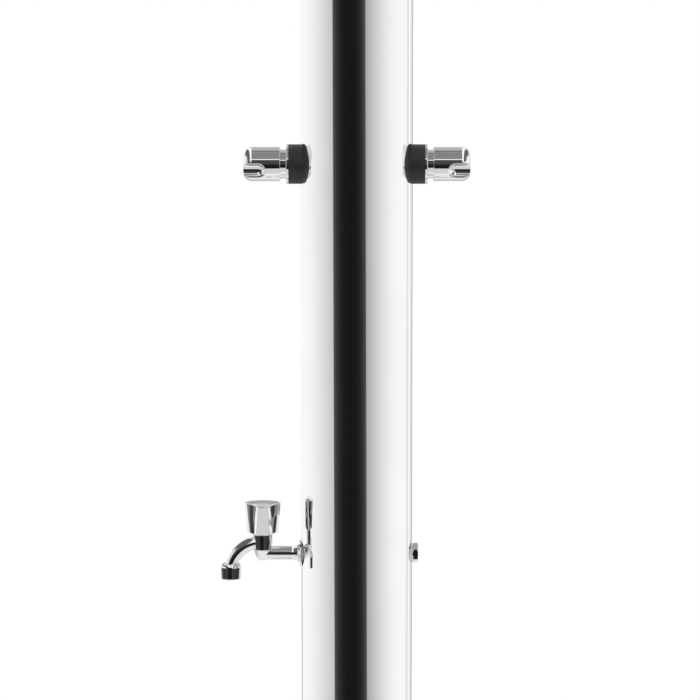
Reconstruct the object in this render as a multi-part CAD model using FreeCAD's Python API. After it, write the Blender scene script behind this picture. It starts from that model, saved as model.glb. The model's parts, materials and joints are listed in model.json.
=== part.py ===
"""Outdoor shower post: a polished tube with two timed push-button valves, a foot-wash tap and two shower heads.

All lengths are in millimetres. +Z is up, the origin is the centre of the base plate's underside, X runs through
both push buttons, and the tap is on the -X side. "Reach" is a distance from the post's axis, measured along X.
"""
import FreeCAD, Part
import math
import os
from FreeCAD import Vector

# Post, base and top cap
post_diameter = 139.7
post_wall = 2.0
post_top = 2250.0
base_diameter = 250.0
base_thickness = 12.0
base_opening_diameter = 44.0
weld_leg = 4.0
anchor_circle = 205.0
anchor_hole_diameter = 14.0
anchor_count = 4
edge_round = 2.0
cap_dome_rise = 14.0
cap_rim_height = 4.0
cap_skirt_depth = 26.0
cap_skirt_wall = 2.5
cap_screw_count = 3
cap_screw_drop = 14.0
cap_screw_diameter = 5.0
cap_screw_length = 8.0
cap_screw_head_diameter = 9.5
cap_screw_head_height = 2.7

# Heights of the fittings above the ground
button_height = 1050.0
tap_height = 555.0
shower_drop = 120.0

# Fits
thread_clearance = 0.05
pipe_clearance = 0.05
hole_clearance = 0.4
running_clearance = 0.05
ball_clearance = 0.3

# Water pipes and their sockets
main_pipe_diameter = 22.0
branch_pipe_diameter = 15.0
pipe_wall = 1.2
socket_depth = 14.0
socket_wall = 4.5
port_diameter = 23.0
water_way = 11.0
half_inch_thread = 20.6
inlet_thread_diameter = 24.2
inlet_thread_length = 18.0
inlet_flange_diameter = 84.0
inlet_flange_thickness = 4.0
inlet_neck_height = 32.0
inlet_recess = 2.0
inlet_screw_circle = 66.0
inlet_screw_count = 4
inlet_screw_diameter = 5.0
inlet_screw_length = 9.0
inlet_screw_head_height = 3.0
inlet_screw_hole_depth = 7.0
manifold_body_diameter = 34.0
manifold_half_height = 40.0
manifold_arm_diameter = 30.0
manifold_thread_depth = 20.0
splitter_drop = 62.0
splitter_diameter = 26.0
splitter_stub = 18.0
splitter_floor = 3.0

# Lock nuts behind the post's wall
lock_nut_flats = 27.0
lock_nut_thickness = 5.0
nut_to_wall = 0.1
nut_to_fitting = 1.0
shank_to_shoulder = 2.0

# Push buttons
gasket_diameter = 49.4
gasket_thickness = 15.4
bezel_flange_diameter = 49.3
bezel_flange_thickness = 3.0
bezel_neck_diameter = 36.0
bezel_neck_length = 14.8
button_travel = 6.0
rim_gap = 1.4
button_diameter = 42.5
button_length = 46.0
button_end_round = 10.5
button_skirt_wall = 2.95
button_skirt_depth = 16.0
scoop_radius = 10.3
scoop_sink = 0.55
scoop_from_tip = 18.2
scoop_drop = 6.7

# Timed valves behind the buttons
spigot_diameter = 31.6
spigot_standout = 5.3
inner_washer_thickness = 5.85
shoulder_diameter = 46.0
shoulder_thickness = 6.0
valve_diameter = 34.0
valve_length = 49.0
chamber_diameter = 18.4
inlet_chamber_depth = 21.0
seat_thickness = 4.0
seat_bore_diameter = 10.6
feed_from_end = 12.0
outlet_from_end = 31.8
port_stub_length = 27.0
valve_socket_depth = 8.0
end_plug_flats = 24.0
end_plug_head = 4.0
end_plug_depth = 3.0
stem_diameter = 10.0
stem_tip_diameter = 5.0
stem_in_button = 11.0
bush_diameter = 24.0
bush_length = 10.5
seal_wire = 2.0
poppet_diameter = 16.4
poppet_thickness = 6.0
poppet_washer_thickness = 2.5
spring_wire = 1.6
spring_mean_diameter = 17.0
spring_turns = 4.5

# Foot-wash tap
tap_reach = 119.0
tap_pipe_diameter = 17.2
tap_flare_diameter = 25.0
tap_flare_length = 9.0
tap_flange_diameter = 34.4
tap_flange_thickness = 1.3
tap_neck_diameter = 25.6
tap_neck_draft = 1.0
tap_neck_top = 25.0
tap_body_bottom = 9.8
tap_bore_diameter = 18.0
tap_bore_floor = 2.0
tap_water_way = 9.0
spout_root_diameter = 17.4
spout_end_diameter = 14.5
spout_root_rise = 13.5
spout_reach = 40.5
spout_drop = 13.5
spout_start_slope = 8.5
spout_thread_diameter = 18.0
spout_thread_length = 9.0
spout_sink = 2.0
spout_bore_diameter = 8.0
nozzle_diameter = 26.6
nozzle_top_drop = 13.6
nozzle_height = 20.0
nozzle_draft = 1.0
nozzle_shoulder_round = 4.2
nozzle_wall = 2.2
nozzle_lip = 1.6
nozzle_bottom_round = 1.4
aerator_gap = 0.8
aerator_ring_count = 6
aerator_hole_diameter = 2.4
headwork_flats = 20.0
headwork_flange_height = 5.0
headwork_top_height = 9.0
headwork_top_diameter = 13.0
headwork_thread_length = 8.0
headwork_barrel_relief = 0.8
headwork_window = 7.0
disc_diameter = 13.6
disc_thickness = 3.0
seat_ring_height = 2.6
spindle_diameter = 7.0
spindle_foot_height = 3.6
knob_gap = 1.2
knob_height = 37.2
knob_dome_rise = 2.2
knob_top_corner = 24.2
knob_top_facet = 10.6
knob_top_flute = 17.6
knob_bottom_corner = 17.9
knob_bottom_facet = 17.5
knob_bottom_flute = 14.6
knob_turn = -2.5
knob_hollow_diameter = 25.0
knob_hollow_depth = 20.0
knob_edge_round = 1.0
knob_screw_diameter = 4.0
knob_screw_depth = 8.0
knob_screw_head_height = 2.4
knob_web = 3.0
knob_index_diameter = 14.0
knob_index_thickness = 2.2

# Seals behind the tap and behind the blanking plug opposite it
port_seal_diameter = 24.4
port_seal_thickness = 0.7
plug_flats = 22.0
plug_head = 6.4
plug_face_thickness = 0.7

# Shower arms and heads
arm_diameter = 21.0
arm_wall = 2.5
arm_run = 52.0
arm_bend_radius = 42.0
arm_slope = 45.0
arm_end_run = 10.0
rosette_diameter = 56.0
rosette_height = 9.0
rosette_wall = 1.5
arm_gasket_diameter = 44.0
arm_gasket_thickness = 2.0
arm_shank_gap = 0.3
rosette_round = 6.0
elbow_end_margin = 14.0
collar_diameter = 27.0
collar_length = 13.0
ball_diameter = 22.0
ball_nut_diameter = 34.0
ball_nut_length = 22.0
ball_nut_start = 2.5
ball_nut_chamfer = 2.0
ball_nut_nose = 4.5
ball_depth = 1.0
nut_mouth_ratio = 0.78
nut_mouth_wall = 3.2
nut_mouth_flare = 2.4
nut_mouth_depth = 5.5
head_neck_diameter = 13.0
head_neck_length = 12.0
head_diameter = 88.0
head_depth = 34.0
head_rim_height = 9.0
head_wall = 2.5
head_crown_width = 11.0
head_crown_height = 6.0
head_bore_diameter = 8.0
head_boss_diameter = 9.0
head_boss_length = 14.0
head_rib_count = 3
head_rib_thickness = 2.2
head_rib_height = 9.0
head_rib_angle = 15.0
spray_plate_thickness = 3.0
spray_plate_recess = 1.0
spray_plate_gap = 0.05
spray_hole_diameter = 3.0
spray_ring_count = 3
spray_first_count = 6
spray_first_radius = 11.0
spray_ring_step = 10.0
head_screw_diameter = 4.0
head_screw_length = 12.0
head_screw_head_height = 2.2

post_radius = post_diameter / 2
post_bore = post_radius - post_wall
ORIGIN = Vector(0, 0, 0)
X_AXIS = Vector(1, 0, 0)
Y_AXIS = Vector(0, 1, 0)
Z_AXIS = Vector(0, 0, 1)
SIDES = ((1, "right"), (-1, "left"))
shower_height = post_top - shower_drop

# Reaches along a push button's axis, worked outwards from the post
gasket_face = post_radius + gasket_thickness
flange_face = gasket_face + bezel_flange_thickness
neck_end = flange_face + bezel_neck_length
button_rim = flange_face + button_travel + rim_gap
button_hollow_end = button_rim + button_skirt_depth
button_tip = button_rim + button_length
spigot_end = flange_face + spigot_standout
shoulder_face = post_bore - inner_washer_thickness
valve_end = shoulder_face - valve_length
seat_reach = valve_end + inlet_chamber_depth
feed_reach = valve_end + feed_from_end
outlet_reach = valve_end + outlet_from_end

# Reaches of the half-inch threads that pass through the wall
nut_corner = lock_nut_flats / math.sqrt(3)
nut_face = math.sqrt(post_bore ** 2 - nut_corner ** 2) - nut_to_wall
fitting_mouth = nut_face - lock_nut_thickness - nut_to_fitting
shank_end = fitting_mouth - manifold_thread_depth + shank_to_shoulder
arm_shank_end = outlet_reach + water_way / 2 + arm_shank_gap


def corner_arc(before, corner, after, radius):
    """The arc that rounds a corner of an outline: its start, middle and end."""
    back, ahead = (before - corner).normalize(), (after - corner).normalize()
    half = back.getAngle(ahead) / 2
    inward = (back + ahead).normalize()
    centre = corner + inward * (radius / math.sin(half))
    setback = radius / math.tan(half)
    return corner + back * setback, centre - inward * radius, corner + ahead * setback


def outline_face(points):
    """A face in the XZ plane from (x, z) or (x, z, corner radius) points."""
    corners = [Vector(p[0], 0, p[1]) for p in points]
    edges, last = [], None
    for i, point in enumerate(points):
        before, here, after = corners[i - 1], corners[i], corners[(i + 1) % len(points)]
        if len(point) == 3:
            start, middle, end = corner_arc(before, here, after, point[2])
        else:
            start, middle, end = here, None, here
        edges.append((start, middle, end))
    wires = []
    for i, (start, middle, end) in enumerate(edges):
        last = edges[i - 1][2]
        if (start - last).Length > 1e-6:
            wires.append(Part.LineSegment(last, start).toShape())
        if middle is not None:
            wires.append(Part.Arc(start, middle, end).toShape())
    return Part.Face(Part.Wire(Part.__sortEdges__(wires)))


def turned(*points):
    """A lathe-turned solid about Z from (radius, height) points, each with an optional corner radius."""
    return outline_face(points).revolve(ORIGIN, Z_AXIS, 360)


def lay(shape):
    """Lay a solid built along Z down along X, its height becoming reach."""
    laid = shape.copy()
    laid.rotate(ORIGIN, Y_AXIS, 90)
    return laid


def placed(shape, x=0.0, z=0.0):
    moved = shape.copy()
    moved.translate(Vector(x, 0, z))
    return moved


def on_side(shape, side):
    """As built for the +X side, mirrored for the -X side."""
    return shape if side > 0 else shape.mirror(ORIGIN, X_AXIS)


def pair(shape, height=0.0):
    """Two alike, one on each side, as a group of separate solids."""
    return Part.makeCompound([placed(on_side(shape, side), z=height) for side, name in SIDES])


def rod(diameter, low, high):
    return Part.makeCylinder(diameter / 2, high - low, Vector(0, 0, low))


def pipe(diameter, bore, low, high):
    return rod(diameter, low, high).cut(rod(bore, low - 1, high + 1))


def hexagon(flats, low, high):
    """A hexagonal prism along Z, with two of its flats facing along Y."""
    corner = flats / math.sqrt(3)
    points = [Vector(corner * math.cos(a), corner * math.sin(a), low)
              for a in (math.radians(60 * k) for k in range(7))]
    return Part.Face(Part.makePolygon(points)).extrude(Vector(0, 0, high - low))


def nut_blank(flats, low, high):
    """A hexagon whose corners are turned down at both ends."""
    corner = flats / math.sqrt(3)
    bevel = corner - flats / 2
    turned_blank = turned((0, low), (flats / 2, low), (corner, low + bevel * 0.6),
                          (corner, high - bevel * 0.6), (flats / 2, high), (0, high))
    return hexagon(flats, low, high).common(turned_blank)


def around(shape, count, first_angle=0.0):
    """Copies of a shape turned evenly about Z."""
    copies = []
    for k in range(count):
        copy = shape.copy()
        copy.rotate(ORIGIN, Z_AXIS, first_angle + 360.0 * k / count)
        copies.append(copy)
    return copies


def saddle_outside(diameter, bore, face):
    """A ring along X whose back is hollowed to the outside of the post."""
    ring = lay(pipe(diameter, bore, post_radius / 2, face))
    return ring.cut(rod(post_diameter, -diameter, diameter))


def saddle_inside(diameter, bore, face):
    """A ring along X whose front is rounded to the inside of the post."""
    ring = lay(pipe(diameter, bore, face, post_radius))
    return ring.common(rod(2 * post_bore, -diameter, diameter))


# Post, base and top cap

def post():
    tube = pipe(post_diameter, 2 * post_bore, base_thickness, post_top)
    wall_holes = [(spigot_diameter, button_height), (half_inch_thread, tap_height),
                  (half_inch_thread, shower_height)]
    for diameter, height in wall_holes:
        drill = lay(rod(diameter + hole_clearance, -post_diameter, post_diameter))
        tube = tube.cut(placed(drill, z=height))
    drill = placed(lay(rod(cap_screw_diameter + hole_clearance, 0, post_diameter)), z=post_top - cap_screw_drop)
    for hole in around(drill, cap_screw_count, 90):
        tube = tube.cut(hole)
    return tube


def base_plate():
    """A round plate with the weld bead that carries the tube."""
    plate = turned((base_opening_diameter / 2, 0), (base_diameter / 2, 0),
                   (base_diameter / 2, base_thickness, edge_round),
                   (post_radius + weld_leg, base_thickness),
                   (post_radius, base_thickness + weld_leg), (post_radius, base_thickness),
                   (base_opening_diameter / 2, base_thickness))
    hole = placed(rod(anchor_hole_diameter, -1, base_thickness + 1), x=anchor_circle / 2)
    for anchor in around(hole, anchor_count, 45):
        plate = plate.cut(anchor)
    screw_hole = placed(rod(inlet_screw_diameter + 2 * thread_clearance, base_thickness - inlet_screw_hole_depth,
                            base_thickness + 1), x=inlet_screw_circle / 2)
    for tapped in around(screw_hole, inlet_screw_count):
        plate = plate.cut(tapped)
    return plate


def top_cap():
    """A hollow shallow dome with a skirt that slips into the tube."""
    skirt_radius = post_bore - hole_clearance / 2
    rim_top = post_top + cap_rim_height
    dome_radius = (post_radius ** 2 + cap_dome_rise ** 2) / (2 * cap_dome_rise)
    blank = turned((0, post_top - cap_skirt_depth), (skirt_radius, post_top - cap_skirt_depth),
                   (skirt_radius, post_top), (post_radius, post_top), (post_radius, rim_top + cap_dome_rise),
                   (0, rim_top + cap_dome_rise))
    centre = Vector(0, 0, rim_top + cap_dome_rise - dome_radius)
    hollow = rod(2 * (skirt_radius - cap_skirt_wall), post_top - cap_skirt_depth - 1, rim_top + cap_dome_rise)
    hollow = hollow.common(Part.makeSphere(dome_radius - cap_skirt_wall, centre))
    cap = blank.common(Part.makeSphere(dome_radius, centre)).cut(hollow)
    tapped = placed(lay(rod(cap_screw_diameter + 2 * thread_clearance, 0, post_diameter)),
                    z=post_top - cap_screw_drop)
    for hole in around(tapped, cap_screw_count, 90):
        cap = cap.cut(hole)
    return cap


def cap_screws():
    head = cap_screw_head_diameter / 2
    screw = turned((0, post_radius - cap_screw_length), (cap_screw_diameter / 2, post_radius - cap_screw_length),
                   (cap_screw_diameter / 2, post_radius), (head, post_radius),
                   (head, post_radius + cap_screw_head_height, 2.0), (0, post_radius + cap_screw_head_height))
    return Part.makeCompound(around(placed(lay(screw), z=post_top - cap_screw_drop), cap_screw_count, 90))


# Water inlet and pipes

inlet_top = base_thickness + inlet_flange_thickness + inlet_neck_height
supply_low = inlet_top - socket_depth
manifold_low = tap_height - manifold_half_height
manifold_high = tap_height + manifold_half_height
splitter_height = button_height - splitter_drop
splitter_low = splitter_height - splitter_diameter / 2 - splitter_stub
splitter_high = splitter_height + water_way / 2 + splitter_floor + socket_depth


def socket(diameter):
    return diameter + 2 * pipe_clearance


def inlet_union():
    """A flanged union: its thread opens downwards through the base plate."""
    neck = main_pipe_diameter / 2 + socket_wall
    spigot = base_opening_diameter / 2 - hole_clearance
    flange_top = base_thickness + inlet_flange_thickness
    union = turned((0, inlet_recess), (spigot, inlet_recess), (spigot, base_thickness),
                   (inlet_flange_diameter / 2, base_thickness), (inlet_flange_diameter / 2, flange_top),
                   (neck, flange_top, 2.5), (neck, inlet_top, 1.0), (0, inlet_top))
    union = union.cut(rod(inlet_thread_diameter, inlet_recess - 1, inlet_recess + inlet_thread_length))
    union = union.cut(rod(water_way, inlet_recess, inlet_top))
    union = union.cut(rod(socket(main_pipe_diameter), supply_low, inlet_top + 1))
    hole = placed(rod(inlet_screw_diameter + hole_clearance, base_thickness - 1, flange_top + 1),
                  x=inlet_screw_circle / 2)
    for clear_hole in around(hole, inlet_screw_count):
        union = union.cut(clear_hole)
    return union


def inlet_screws():
    seat = base_thickness + inlet_flange_thickness
    head = inlet_screw_diameter * 0.8
    screw = turned((0, seat - inlet_screw_length), (inlet_screw_diameter / 2, seat - inlet_screw_length),
                   (inlet_screw_diameter / 2, seat), (head, seat),
                   (head, seat + inlet_screw_head_height, 0.6), (0, seat + inlet_screw_head_height))
    return Part.makeCompound(around(placed(screw, x=inlet_screw_circle / 2), inlet_screw_count))


def main_pipe(low, high):
    return pipe(main_pipe_diameter, main_pipe_diameter - 2 * pipe_wall, low, high)


def branch_pipe(low, high, reach):
    return placed(pipe(branch_pipe_diameter, branch_pipe_diameter - 2 * pipe_wall, low, high), x=reach)


def lower_manifold():
    """A cross at the tap's height: pipe sockets below and above, threaded arms to both walls."""
    body = turned((0, manifold_low), (manifold_body_diameter / 2, manifold_low, 1.5),
                  (manifold_body_diameter / 2, manifold_high, 1.5), (0, manifold_high))
    arms = placed(lay(rod(manifold_arm_diameter, -fitting_mouth, fitting_mouth)), z=tap_height)
    cross = body.fuse(arms)
    ways = [rod(water_way, manifold_low, manifold_high),
            rod(socket(main_pipe_diameter), manifold_low - 1, manifold_low + socket_depth),
            rod(socket(main_pipe_diameter), manifold_high - socket_depth, manifold_high + 1),
            placed(lay(rod(water_way, -fitting_mouth, fitting_mouth)), z=tap_height)]
    thread = lay(rod(half_inch_thread + 2 * thread_clearance, fitting_mouth - manifold_thread_depth,
                     fitting_mouth + 1))
    for side in (1, -1):
        ways.append(placed(on_side(thread, side), z=tap_height))
    return cross.cut(ways).removeSplitter()


def riser_splitter():
    """A bridge that feeds both timed valves from the one riser."""
    half_length = feed_reach + branch_pipe_diameter / 2 + socket_wall
    bridge = lay(turned((0, -half_length), (splitter_diameter / 2, -half_length, 3.0),
                        (splitter_diameter / 2, half_length, 3.0), (0, half_length)))
    bridge = placed(bridge, z=splitter_height)
    bridge = bridge.fuse(rod(main_pipe_diameter + 2 * socket_wall, splitter_low, splitter_height))
    for side in (1, -1):
        bridge = bridge.fuse(placed(rod(port_diameter, splitter_height, splitter_high), x=side * feed_reach))
    ways = [rod(water_way, splitter_low, splitter_height),
            rod(socket(main_pipe_diameter), splitter_low - 1, splitter_low + socket_depth),
            placed(lay(rod(water_way, -feed_reach, feed_reach)), z=splitter_height)]
    for side in (1, -1):
        ways.append(placed(rod(water_way, splitter_height, splitter_high), x=side * feed_reach))
        ways.append(placed(rod(socket(branch_pipe_diameter), splitter_high - socket_depth, splitter_high + 1),
                           x=side * feed_reach))
    return bridge.cut(ways).removeSplitter()


def lock_nuts():
    """Four alike: behind the tap, the blanking plug and both shower arms."""
    nut = nut_blank(lock_nut_flats, nut_face - lock_nut_thickness, nut_face)
    nut = lay(nut.cut(rod(half_inch_thread + 2 * thread_clearance, 0, post_radius)))
    return Part.makeCompound([placed(on_side(nut, side), z=height)
                              for height in (tap_height, shower_height) for side in (1, -1)])


# Push buttons and timed valves, built along Z and laid along X

def button_cap():
    """A bell-shaped cap: skirt over the neck, blind hole for the stem, round-ended finger groove in front."""
    outer, inner = button_diameter / 2, button_diameter / 2 - button_skirt_wall
    shell = turned((inner, button_rim), (outer, button_rim, 0.6), (outer, button_tip, button_end_round),
                   (0, button_tip), (0, button_hollow_end), (inner, button_hollow_end, 1.5))
    shell = shell.cut(rod(stem_diameter + 2 * thread_clearance, button_rim, button_hollow_end + stem_in_button))
    end = Vector(button_tip - scoop_from_tip, scoop_sink - outer, -scoop_drop)
    scoop = Part.makeCylinder(scoop_radius, scoop_from_tip + 1, end, X_AXIS)
    scoop = scoop.fuse(Part.makeSphere(scoop_radius, end))
    return lay(shell).cut(scoop)


def saddle_gasket():
    return saddle_outside(gasket_diameter, spigot_diameter + hole_clearance, gasket_face)


def bezel():
    """The thin flange and the neck that the cap slides over, screwed on the valve's spigot."""
    neck = bezel_neck_diameter / 2
    flange = bezel_flange_diameter / 2
    bore = spigot_diameter / 2 + thread_clearance
    return lay(turned((bore, gasket_face), (flange, gasket_face), (flange, flange_face, 1.0), (neck, flange_face),
                      (neck, neck_end, 0.8), (bore, neck_end)))


def inner_washer():
    return saddle_inside(shoulder_diameter, spigot_diameter + hole_clearance, shoulder_face)


def valve_body():
    """Inlet chamber, seat and outlet chamber in line, with a port below and one above."""
    body = valve_diameter / 2
    spigot = spigot_diameter / 2
    shoulder = shoulder_diameter / 2
    blank = turned((0, valve_end), (body, valve_end, 1.0), (body, shoulder_face - shoulder_thickness, 2.0),
                   (shoulder, shoulder_face - shoulder_thickness, 1.0), (shoulder, shoulder_face),
                   (spigot, shoulder_face), (spigot, spigot_end), (0, spigot_end))
    solid = lay(blank)
    solid = solid.fuse(placed(rod(port_diameter, -port_stub_length, 0), x=feed_reach))
    solid = solid.fuse(placed(rod(port_diameter, 0, port_stub_length), x=outlet_reach))
    chambers = [rod(chamber_diameter, valve_end - 1, seat_reach),
                rod(seat_bore_diameter, seat_reach - 1, seat_reach + seat_thickness + 1),
                rod(chamber_diameter, seat_reach + seat_thickness, spigot_end - bush_length + 1),
                rod(bush_diameter + 2 * thread_clearance, spigot_end - bush_length, spigot_end + 1)]
    ways = [lay(chamber) for chamber in chambers]
    for reach, sign in ((feed_reach, -1), (outlet_reach, 1)):
        mouth = rod(socket(branch_pipe_diameter), port_stub_length - valve_socket_depth, port_stub_length + 1)
        way = mouth.fuse(rod(water_way, 0, port_stub_length))
        ways.append(placed(way if sign > 0 else way.mirror(ORIGIN, Z_AXIS), x=reach))
    return solid.cut(ways).removeSplitter()


def valve_end_plug():
    head = nut_blank(end_plug_flats, valve_end - end_plug_head, valve_end)
    return lay(head.fuse(rod(chamber_diameter - 2 * thread_clearance, valve_end, valve_end + end_plug_depth)))


def stem_bush():
    """Guides the stem and holds its seal in a groove."""
    low, bore = spigot_end - bush_length, stem_diameter / 2 + running_clearance
    bush = pipe(bush_diameter, 2 * bore, low, spigot_end)
    groove_middle = low + bush_length / 2
    groove = pipe(2 * (bore + seal_wire) + 0.2, bore, groove_middle - seal_wire * 0.6,
                  groove_middle + seal_wire * 0.6)
    return lay(bush.cut(groove))


def stem_seal():
    ring = Part.makeTorus(stem_diameter / 2 + running_clearance + seal_wire / 2, seal_wire / 2)
    return lay(placed(ring, z=spigot_end - bush_length / 2))


def button_stem():
    """Runs from the cap, through the bush and the seat, to the poppet on its inner end."""
    thick, thin, poppet = stem_diameter / 2, stem_tip_diameter / 2, poppet_diameter / 2
    step = spigot_end - bush_length - 2 * button_travel
    face = seat_reach - poppet_washer_thickness
    back = face - poppet_thickness
    tip = button_hollow_end + stem_in_button - 0.5
    return lay(turned((0, back), (poppet - 2, back), (poppet, back + poppet_thickness / 2), (poppet, face),
                      (thin, face), (thin, step - 4), (thick, step), (thick, tip, 0.8), (0, tip)))


def poppet_washer():
    face = seat_reach - poppet_washer_thickness
    return lay(pipe(poppet_diameter - 1.0, stem_tip_diameter + 2 * thread_clearance, face, seat_reach))


def arc_from(start, heading, end):
    """The circular arc that leaves start along heading and reaches end."""
    chord = end - start
    along = Vector(chord).normalize()
    aside = heading - along * heading.dot(along)
    rise = chord.Length / 2 * math.tan(heading.getAngle(chord) / 2)
    return Part.Arc(start, (start + end) * 0.5 + aside.normalize() * rise, end).toShape()


def biarc(start, heading, end, far_heading):
    """Two arcs, tangent to each other and to both headings."""
    span, total = end - start, heading + far_heading
    opening = 2 * (1 - heading.dot(far_heading))
    lean = span.dot(total)
    reach = (-lean + math.sqrt(lean ** 2 + opening * span.dot(span))) / opening
    joint = (start + end + (heading - far_heading) * reach) * 0.5
    return [arc_from(start, heading, joint), arc_from(end, far_heading * -1, joint)]


def return_spring():
    """A compression spring between the bush and the cap, swept along a helix of biarcs."""
    low = spigot_end + spring_wire / 2 + 0.05
    high = button_hollow_end - spring_wire / 2 - 0.05
    mean = spring_mean_diameter / 2
    climb = (high - low) / (2 * math.pi * spring_turns)

    def at(angle):
        return Vector(mean * math.cos(angle), mean * math.sin(angle), low + climb * angle)

    def heading(angle):
        return Vector(-mean * math.sin(angle), mean * math.cos(angle), climb).normalize()

    quarters = round(4 * spring_turns)
    edges = []
    for k in range(quarters):
        a, b = k * math.pi / 2, (k + 1) * math.pi / 2
        edges += biarc(at(a), heading(a), at(b), heading(b))
    path = Part.Wire(Part.__sortEdges__(edges))
    section = Part.Wire(Part.Circle(at(0), heading(0), spring_wire / 2).toShape())
    coil = path.makePipeShell([section], True, False)
    print("spring gap between turns", round(2 * math.pi * climb - spring_wire, 2), "mm")
    return lay(coil)


# Foot-wash tap, built on the +X side with its pipe on the X axis, and mirrored to -X

def from_post(shape):
    """Place what is built about the tap's own upright axis."""
    return placed(shape, x=tap_reach)


port_seal_face = post_radius + port_seal_thickness
tap_flange_face = port_seal_face + tap_flange_thickness
neck_radius = tap_neck_diameter / 2
headwork_seat = tap_neck_top
headwork_top = headwork_seat + headwork_flange_height + headwork_top_height
knob_bottom = tap_neck_top + knob_gap
knob_corner_top = knob_bottom + knob_height
disc_low = tap_bore_floor + seat_ring_height
spindle_low = disc_low + 2 * disc_thickness
knob_hollow_top = knob_bottom + knob_hollow_depth
knob_top = knob_corner_top + knob_dome_rise
spindle_top = knob_top - knob_index_thickness - 6.0
spout_end = -spout_drop - spout_thread_length
nozzle_bottom = -nozzle_top_drop - nozzle_height


def spout_line():
    """The spout's centre line, one arc from the neck to the nozzle."""
    slope = math.radians(spout_start_slope)
    start = Vector(neck_radius / 2, 0, spout_root_rise)
    end = Vector(spout_reach, 0, -spout_drop - spout_sink)
    heading = Vector(math.cos(slope), 0, -math.sin(slope))
    return arc_from(start, heading, end)


def spout_tube(root_diameter, end_diameter):
    line = spout_line()
    first, last = line.FirstParameter, line.LastParameter
    sweep = Part.BRepOffsetAPI.MakePipeShell(Part.Wire(line))
    for where, diameter in ((first, root_diameter), (last, end_diameter)):
        ring = Part.Circle(line.valueAt(where), line.tangentAt(where), diameter / 2)
        sweep.add(Part.Wire(ring.toShape()))
    sweep.build()
    sweep.makeSolid()
    return sweep.shape()


def tap_body():
    """One casting: threaded shank, pipe, upright neck and arched spout."""
    pipe_radius, flare = tap_pipe_diameter / 2, tap_flare_diameter / 2
    shank = half_inch_thread / 2
    side_pipe = lay(turned((0, shank_end), (shank, shank_end, 1.0), (shank, tap_flange_face),
                           (flare, tap_flange_face),
                           (flare * 0.8, tap_flange_face + tap_flare_length * 0.35, 3.0),
                           (pipe_radius, tap_flange_face + tap_flare_length, 8.0), (pipe_radius, tap_reach),
                           (0, tap_reach)))
    neck = turned((0, -tap_body_bottom), (neck_radius * 0.3, -tap_body_bottom + 0.6, 3.0),
                  (neck_radius * 0.62, -tap_body_bottom + 4.6, 4.0), (neck_radius - tap_neck_draft, 4.6, 5.0),
                  (neck_radius, tap_neck_top, 0.8), (0, tap_neck_top))
    collar = placed(rod(spout_thread_diameter, spout_end, -spout_drop), x=spout_reach)
    upright = from_post(neck.fuse(spout_tube(spout_root_diameter, spout_end_diameter)).fuse(collar))
    way_down = placed(rod(spout_bore_diameter, spout_end - 1, spout_sink - spout_drop), x=spout_reach)
    ways = [lay(rod(tap_water_way, shank_end - 1, tap_reach)),
            from_post(rod(tap_bore_diameter, tap_bore_floor, tap_neck_top + 1)),
            from_post(rod(tap_water_way, 0, tap_bore_floor + 1)),
            from_post(spout_tube(spout_bore_diameter, spout_bore_diameter)),
            from_post(way_down)]
    return side_pipe.fuse(upright).cut(ways).removeSplitter()


def tap_flange():
    flange = tap_flange_diameter / 2
    bore = half_inch_thread / 2 + hole_clearance / 2
    return lay(turned((bore, port_seal_face), (flange, port_seal_face), (flange - 0.8, tap_flange_face),
                      (bore, tap_flange_face)))


def port_seal():
    return saddle_outside(port_seal_diameter, half_inch_thread + hole_clearance, port_seal_face)


def headwork():
    """The brass cartridge body: thread in the neck, hexagon above it, windows towards the spout."""
    barrel = tap_bore_diameter / 2 - thread_clearance
    flange_top = headwork_seat + headwork_flange_height
    relieved, thread_low = barrel - headwork_barrel_relief, headwork_seat - headwork_thread_length
    body = turned((0, disc_low), (relieved, disc_low), (relieved, thread_low), (barrel, thread_low),
                  (barrel, headwork_seat), (0, headwork_seat))
    body = body.fuse(nut_blank(headwork_flats, headwork_seat, flange_top))
    body = body.fuse(rod(headwork_top_diameter, flange_top, headwork_top))
    chamber = rod(disc_diameter + 0.4, disc_low - 1, spindle_low + spindle_foot_height + 0.1)
    stem_way = rod(spindle_diameter + 2 * running_clearance, disc_low, headwork_top + 1)
    window = Part.makeBox(2 * tap_bore_diameter, headwork_window, disc_thickness * 1.6,
                          Vector(-tap_bore_diameter, -headwork_window / 2, disc_low + disc_thickness * 1.1))
    return from_post(body.cut([chamber, stem_way, window]).removeSplitter())


def seat_ring():
    return from_post(pipe(disc_diameter, tap_water_way, tap_bore_floor, disc_low))


def ceramic_disc(low):
    """A disc with two opposite quarter ports."""
    disc = rod(disc_diameter, low, low + disc_thickness)
    port = Part.makeCylinder(disc_diameter * 0.38, disc_thickness + 2, Vector(0, 0, low - 1), Z_AXIS, 84)
    port = port.cut(rod(disc_diameter * 0.24, low - 2, low + disc_thickness + 2))
    return from_post(disc.cut(around(port, 2)))


def fixed_disc():
    return ceramic_disc(disc_low)


def turning_disc():
    disc = ceramic_disc(disc_low + disc_thickness)
    disc.rotate(Vector(tap_reach, 0, 0), Z_AXIS, 90)
    return disc


def spindle():
    foot, shaft = disc_diameter / 2, spindle_diameter / 2
    body = turned((0, spindle_low), (foot, spindle_low, 0.5), (foot, spindle_low + spindle_foot_height),
                  (shaft, spindle_low + spindle_foot_height), (shaft, spindle_top, 0.6), (0, spindle_top))
    return from_post(body.cut(rod(knob_screw_diameter + 2 * thread_clearance, spindle_top - knob_screw_depth,
                                  spindle_top + 1)))


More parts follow.
